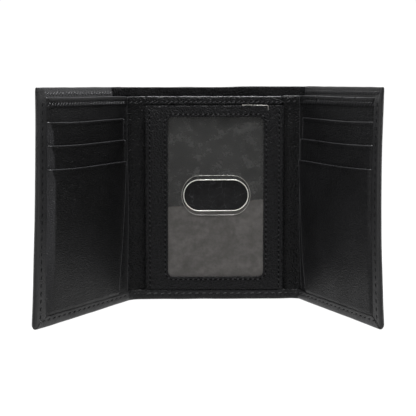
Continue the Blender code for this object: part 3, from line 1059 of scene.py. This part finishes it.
def rounded_loop(low, high, radius, across=12, up=20, corner=6):
    """Points round a rectangle with rounded corners, anticlockwise from the right."""
    points = []
    sides = ((high[0], high[1], 0, across), (low[0], high[1], 1, up), (low[0], low[1], 2, across),
             (high[0], low[1], 3, up))
    arcs = []
    for x, z, quarter, _ in sides:
        mx = x - math.copysign(radius, x - (low[0] + high[0]) / 2)
        mz = z - math.copysign(radius, z - (low[1] + high[1]) / 2)
        turns = [math.pi / 2 * (quarter + k / corner) for k in range(corner + 1)]
        arcs.append([(mx + radius * math.cos(t), mz + radius * math.sin(t)) for t in turns])
    for k, arc in enumerate(arcs):
        points += arc
        a, b = arc[-1], arcs[(k + 1) % 4][0]
        count = sides[k][3]
        points += [between(a, b, j / count) for j in range(1, count)]
    return points


def frame_height(x, z):
    """Front of the leather frame round the window."""
    n = FRAME_FRONT
    n -= 0.14 * math.exp(-((abs(x) - SEAM_COLUMN) / 0.45) ** 2)
    n -= 1.0 * (1.0 - smooth(z, HEM_BOTTOM - 0.5, HEM_BOTTOM + 0.5))
    return n + uneven((x, n, z), (24.0, 0.14, 4.0), (6.0, 0.04, 8.0))


def make_frame():
    low, high = opening("card_window")
    outer_low, outer_high = front_box("id_frame")
    outer_low = (outer_low[0], HEM_BOTTOM - 0.9)

    def window_ring(offset):
        """The window's outline grown by some millimetres."""
        grow = WINDOW_CLEAR + offset
        return rounded_loop([v - grow for v in low], [v + grow for v in high], WINDOW_RADIUS + offset)

    loops = []
    for offset, drop in FRAME_RINGS:
        ring = window_ring(offset)
        loops.append([centre_at(x, frame_height(x, z) - drop, z) for x, z in ring])
    inner = window_ring(FRAME_RINGS[-1][0])
    outer = rounded_loop(outer_low, outer_high, 0.8)
    for step in range(1, FRAME_STEPS + 1):
        ring = [between(a, b, step / FRAME_STEPS) for a, b in zip(inner, outer)]
        drop = 0.12 if step == FRAME_STEPS else 0.0
        loops.append([centre_at(x, frame_height(x, z) - drop, z) for x, z in ring])
    loops.append([centre_at(x, FRAME_FRONT - 0.5, z) for x, z in outer])
    piece = loft("window_frame", loops, around=True)
    thicken(piece, 0.5, IN_FRONT)
    dress(piece, GRAINED_LEATHER)
    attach(piece, "centre")
    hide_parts("id_frame")

    ring = window_ring(1.3)
    stitches("window_stitches", centre_at, ring + ring[:1], lambda x, z: frame_height(x, z) - 0.14, "centre",
             ["window_seam"], **WINDOW_STITCH)
    # A near-black tube along the seam: painted shade in its groove.
    groove = [centre_at(x, frame_height(x, z) - 0.32, z) for x, z in ring + ring[:1]]
    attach(fine_ridge("window_groove_shade", groove, 0.34, SEAM_SHADE), "centre")
    for side, x in (("left", -SEAM_COLUMN), ("right", SEAM_COLUMN)):
        stitches("frame_stitches_" + side, centre_at, [(x, z) for z in SEAM_ENDS],
                 lambda x, z: frame_height(x, z) - 0.04, "centre", ["id_seam_" + side], **WINDOW_STITCH)
        # The same painted shade along the side seams.
        groove = [centre_at(x, frame_height(x, z) - 0.14, z) for z in spaced(*SEAM_ENDS, 2.0)]
        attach(fine_ridge("frame_groove_shade_" + side, groove, 0.3, SEAM_SHADE), "centre")


def stadium_point(angle, grow):
    """Where a ray from the thumb slot's middle meets the slot's outline grown by some millimetres."""
    radius = THUMB_WIDTH / 2 + grow
    straight = (THUMB_LENGTH - THUMB_WIDTH) / 2
    c, s = math.cos(angle), math.sin(angle)
    if abs(s) > 1e-9 and abs(c / s) * radius <= straight:
        reach = radius / abs(s)
    else:
        reach = straight * abs(c) + math.sqrt(max(radius ** 2 - (straight * s) ** 2, 0.0))
    return reach * c, reach * s


def film_height(x, z):
    return FILM_LEVEL + uneven((x, 0.0, z), (30.0, 0.22, 6.0), (9.0, 0.07, 3.0))


def make_film():
    low, high = front_box("window_film")
    a, b = opening("thumb_slot")
    cx, cz = (a[0] + b[0]) / 2, (a[1] + b[1]) / 2
    angles = full_turn(96)

    def slot_ring(grow, height):
        points = [stadium_point(angle, grow) for angle in angles]
        return [centre_at(cx + x, film_height(cx + x, cz + z) + height, cz + z) for x, z in points]

    loops = [slot_ring(grow, lift) for grow, lift in SLOT_RINGS]
    last = [stadium_point(angle, SLOT_RINGS[-1][0]) for angle in angles]
    for step in range(1, FILM_STEPS + 1):
        share = step / FILM_STEPS
        ring = []
        for angle, (x, z) in zip(angles, last):
            c, s = math.cos(angle), math.sin(angle)
            reach_x = ((high[0] - cx) if c > 0 else (cx - low[0])) / max(abs(c), 1e-9)
            reach_z = ((high[1] - cz) if s > 0 else (cz - low[1])) / max(abs(s), 1e-9)
            reach = min(reach_x, reach_z)
            px, pz = x + (reach * c - x) * share, z + (reach * s - z) * share
            ring.append(centre_at(cx + px, min(film_height(cx + px, cz + pz), FILM_CEILING), cz + pz))
        loops.append(ring)
    film = loft("window_film_sheet", loops, around=True)
    thicken(film, 0.22, IN_FRONT)
    dress(film, FILM)
    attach(film, "centre")
    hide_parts("window_film")

    # Beads round the thumb slot in the painted-highlight rim colours, the outer one dimmer.
    for name, grow, taller, radius, rim in (("inner", 0.25, 0.0, 0.21, RIM),
                                            ("outer", 1.25, 1.0, 0.12, DIM_RIM_HIGHLIGHT)):
        loops = []
        for turn in full_turn(10):
            across, lift = radius * math.cos(turn), radius * math.sin(turn)
            points = [stadium_point(angle, grow + across) for angle in angles]
            loops.append([centre_at(cx + x, film_height(cx + x, cz + z) + 0.12 + lift,
                                    cz + z * (1 + taller / (THUMB_WIDTH / 2))) for x, z in points])
        bead = loft("thumb_slot_bead_" + name, [*loops, loops[0]], around=True)
        dress(bead, rim)
        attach(bead, "centre")


def make_film_lip():
    """The film's own top edge, peeping over the frame at the right, in the pale rim colour that paints its
    highlight.
    """
    path = [(13.9, 98.9), (18.0, 98.95), (22.5, 98.85), (26.5, 98.8), (26.95, 98.5), (27.0, 96.2)]
    points = [centre_at(x, frame_height(x, z) + 0.08, z) for x, z in path]
    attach(fine_ridge("film_lip", points, 0.07, RIM), "centre")


def make_mitre_shade(half):
    """A dark ridge of black thread along the fold where the side hem is laid over the bottom hem: painted shade of
    that crease.
    """
    hem = on_shell(half)
    inner, outer = (half.end - half.hem(HEM_BOTTOM), HEM_BOTTOM), (half.end - 1.4, 0.3)
    points = []
    for share in spaced(0.0, 1.0, 0.1):
        s, z = between(inner, outer, share)
        points.append(half.at(s, hem(s, z) + 0.16 - 0.5 * share ** 6, z))
    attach(fine_ridge("mitre_shade_" + half.name, points, 0.14, THREAD), half.body)


def make_backing():
    """The dark sheet behind the film."""
    low, high = front_box("id_backing")
    level, rows = 0.45, 24
    loops = []
    for k in range(rows + 1):
        z = low[1] + (high[1] - low[1]) * k / rows
        loops.append([centre_at(x, level + ripple((x, 0.0, z), 25.0, 0.06, level), z)
                      for x in spaced(low[0], high[0], 3.0)])
    piece = loft("window_backing", loops)
    thicken(piece, 0.3, IN_FRONT)
    dress(piece, BACKING)
    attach(piece, "centre")
    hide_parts("id_backing")


def make_centre():
    make_frame()
    make_film()
    make_film_lip()
    make_backing()
    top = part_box("divider_centre")[1].z / MM
    edge = LEFT.edge - 0.4

    def divider_height(x, z):
        return 0.05 + top_hem(top - z) + ripple((x, 0.0, z), 22.0, 0.1, 2.0)

    rows = spaced(2.0, top - 6.0, 3.0) + [top - t for t in reversed(EDGE_ROWS)]
    columns = spaced(-edge, edge, 2.0)
    divider = loft("divider_leather_centre",
                   [[centre_at(x, divider_height(x, z), z) for x in columns] for z in rows])
    thicken(divider, 0.45, IN_FRONT)
    dress(divider, GRAINED_LEATHER)
    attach(divider, "centre")
    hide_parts("divider_centre")
    line = top - LINE_DROP
    points = [centre_at(x, divider_height(x, line) - LINE_SINK, line) for x in columns]
    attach(fine_ridge("divider_edge", points, 0.3, EDGE_LEATHER), "centre")
    seam = top - TOP_SEAM
    stitches("top_stitches_centre", centre_at, [(-edge, seam), (edge, seam)],
             lambda x, z: divider_height(x, z) + 0.02, "centre", ["top_seam_centre"], slant=0.5,
             **HEM_STITCH)
    stitches("bottom_stitches_centre", centre_at, [(-edge, SEAM_UP), (edge, SEAM_UP)],
             lambda x, z: on_shell(RIGHT if x > 0 else LEFT)(abs(x), z), "centre", ["bottom_seam_centre"],
             slant=0.25, material=LIT_THREAD)


# ---- studio


def make_camera():
    data = bpy.data.cameras.new("camera")
    camera = add_object("camera", data)
    camera.location = Vector(CAMERA_PLACE) * MM
    camera.rotation_euler = (math.radians(90.0 - CAMERA_PITCH), 0.0, -math.radians(CAMERA_YAW))
    data.lens = CAMERA_LENS
    data.shift_y = CAMERA_SHIFT
    data.clip_start = 0.01
    bpy.context.scene.camera = camera


def area_light(name, place, size, power):
    """A soft light that points at the middle of the wallet; its place and size are in metres."""
    data = bpy.data.lights.new(name, "AREA")
    data.shape = "RECTANGLE"
    data.size, data.size_y = size
    data.energy = power
    light = add_object(name, data)
    light.location = place
    aim = Vector((0.0, 0.0, 0.05)) - Vector(place)
    light.rotation_euler = aim.to_track_quat("-Z", "Y").to_euler()


def make_studio():
    shape = bmesh.new()
    bmesh.ops.create_grid(shape, x_segments=8, y_segments=8, size=4.0)
    mesh = bpy.data.meshes.new("floor")
    shape.to_mesh(mesh)
    shape.free()
    floor = add_object("floor", mesh)
    m = Nodes("white_floor")
    m.fix(Base_Color=(0.05, 0.05, 0.05, 1.0), Roughness=1.0, Specular_IOR_Level=0.0,
          Emission_Color=(1.0, 1.0, 1.0, 1.0), Emission_Strength=1.0)
    mesh.materials.append(m.material)

    world = bpy.data.worlds.new("studio")
    bpy.context.scene.world = world
    world.use_nodes = True
    tree = world.node_tree
    background = tree.nodes["Background"]
    coordinates = tree.nodes.new("ShaderNodeTexCoord")
    split = tree.nodes.new("ShaderNodeSeparateXYZ")
    tree.links.new(coordinates.outputs["Generated"], split.inputs[0])
    spread = tree.nodes.new("ShaderNodeMapRange")
    for socket, value in (("From Min", 0.0), ("From Max", 0.7), ("To Min", 0.06), ("To Max", 1.05)):
        spread.inputs[socket].default_value = value
    tree.links.new(split.outputs["Y"], spread.inputs["Value"])
    tree.links.new(spread.outputs["Result"], background.inputs["Strength"])
    background.inputs["Color"].default_value = (1.0, 1.0, 1.0, 1.0)
    area_light("overhead", (0.05, -0.1, 0.9), (0.45, 0.3), 22.0)
    area_light("right", (0.8, -0.35, 0.75), (0.3, 0.3), 1.3)
    area_light("left", (-0.8, -0.5, 0.7), (0.3, 0.3), 4.4)
    bpy.context.scene.view_settings.view_transform = "Standard"


# ---- assembly

make_camera()
make_studio()
for half in SIDES:
    outer_leather(half)
    make_lining(half)
    make_fold(half)
    make_wing(half)
make_centre()
make_mitre_shade(RIGHT)
